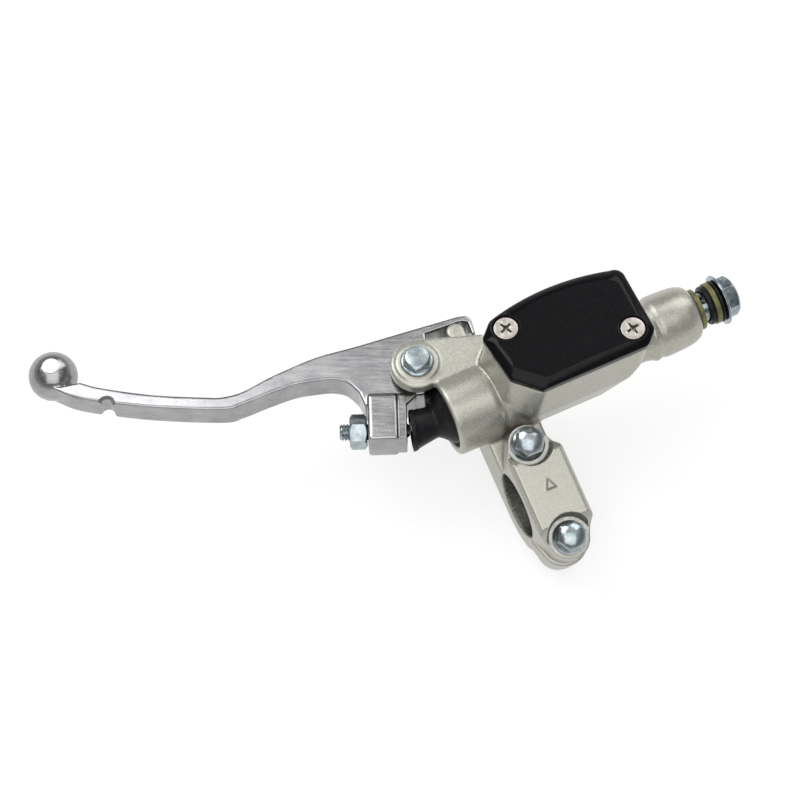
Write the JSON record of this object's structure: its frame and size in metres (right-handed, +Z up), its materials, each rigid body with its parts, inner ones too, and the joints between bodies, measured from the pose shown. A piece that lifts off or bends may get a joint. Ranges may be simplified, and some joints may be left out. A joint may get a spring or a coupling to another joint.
{
  "type": "brake master cylinder",
  "caption": "Handlebar brake master cylinder: cast body with a bar clamp and fluid reservoir, a pivoting ball-end hand lever that pushes a piston, and a banjo bolt outlet.",
  "frame": {"origin": "centre of the handlebar clamp's bore, midway along its width", "axes": "+X along the handlebar and the cylinder bore, towards the hose end; +Y forward, away from the rider; +Z up, square to the reservoir's cover"},
  "size_m": [0.2227, 0.1352, 0.0602],
  "materials": {
    "cast_aluminium": "fine satin cast and painted silver",
    "polished_aluminium": "polished",
    "zinc_steel": "bright bluish zinc plate",
    "nickel_steel": "satin nickel plate",
    "spring_steel": "plain steel",
    "bronze": "sintered bronze",
    "anodised_aluminium": "hard anodised",
    "sealing_washer": "olive coated sealing washer",
    "gloss_black": "gloss black",
    "black_rubber": "satin rubber"
  },
  "bodies": {
    "cylinder": {"master_cylinder_body": "cast_aluminium", "clamp_cap": "cast_aluminium", "clamp_bolt_upper": "zinc_steel", "clamp_bolt_lower": "zinc_steel", "reservoir_diaphragm": "black_rubber", "reservoir_cover": "gloss_black", "cover_screw_inner": "nickel_steel", "cover_screw_outer": "nickel_steel", "pivot_bolt": "zinc_steel", "pivot_washer": "zinc_steel", "pivot_nut": "zinc_steel", "dust_boot": "black_rubber", "retaining_clip": "spring_steel", "stop_washer": "zinc_steel", "banjo_washer_inner": "sealing_washer", "banjo_ring_inner": "black_rubber", "banjo_washer_outer": "sealing_washer", "banjo_ring_outer": "black_rubber", "banjo_bolt": "zinc_steel"},
    "lever": {"brake_lever": "polished_aluminium", "pivot_bush": "bronze", "adjuster_screw": "zinc_steel", "adjuster_locknut": "zinc_steel"},
    "piston": {"piston": "anodised_aluminium", "secondary_cup": "black_rubber", "primary_cup": "black_rubber", "return_spring": "spring_steel"},
    "pushrod": {"pushrod": "spring_steel"}
  },
  "joints": [
    {"name": "lever_pivot", "type": "hinge", "parent": "cylinder", "child": "lever", "pos_m": [-0.0214, 0.05, 0.012], "axis": [0, 0, 1], "range_deg": [0, 20], "stiffness_Nm_per_rad": 0.6, "springref_deg": -28.65},
    {"name": "piston_slide", "type": "slide", "parent": "cylinder", "child": "piston", "axis": [1, 0, 0], "range_m": [0, 0.0062], "deforming": ["return_spring", "dust_boot"]},
    {"name": "pushrod_swing", "type": "hinge", "parent": "piston", "child": "pushrod", "pos_m": [-0.0146, 0.0337, 0.012], "axis": [0, 0, 1], "range_deg": [0, 7]}
  ],
  "couplings": [
    {"joint": "piston_slide", "follows": "lever_pivot", "m_per_rad": 0.01745},
    {"joint": "pushrod_swing", "follows": "lever_pivot", "ratio": 0.34}
  ]
}
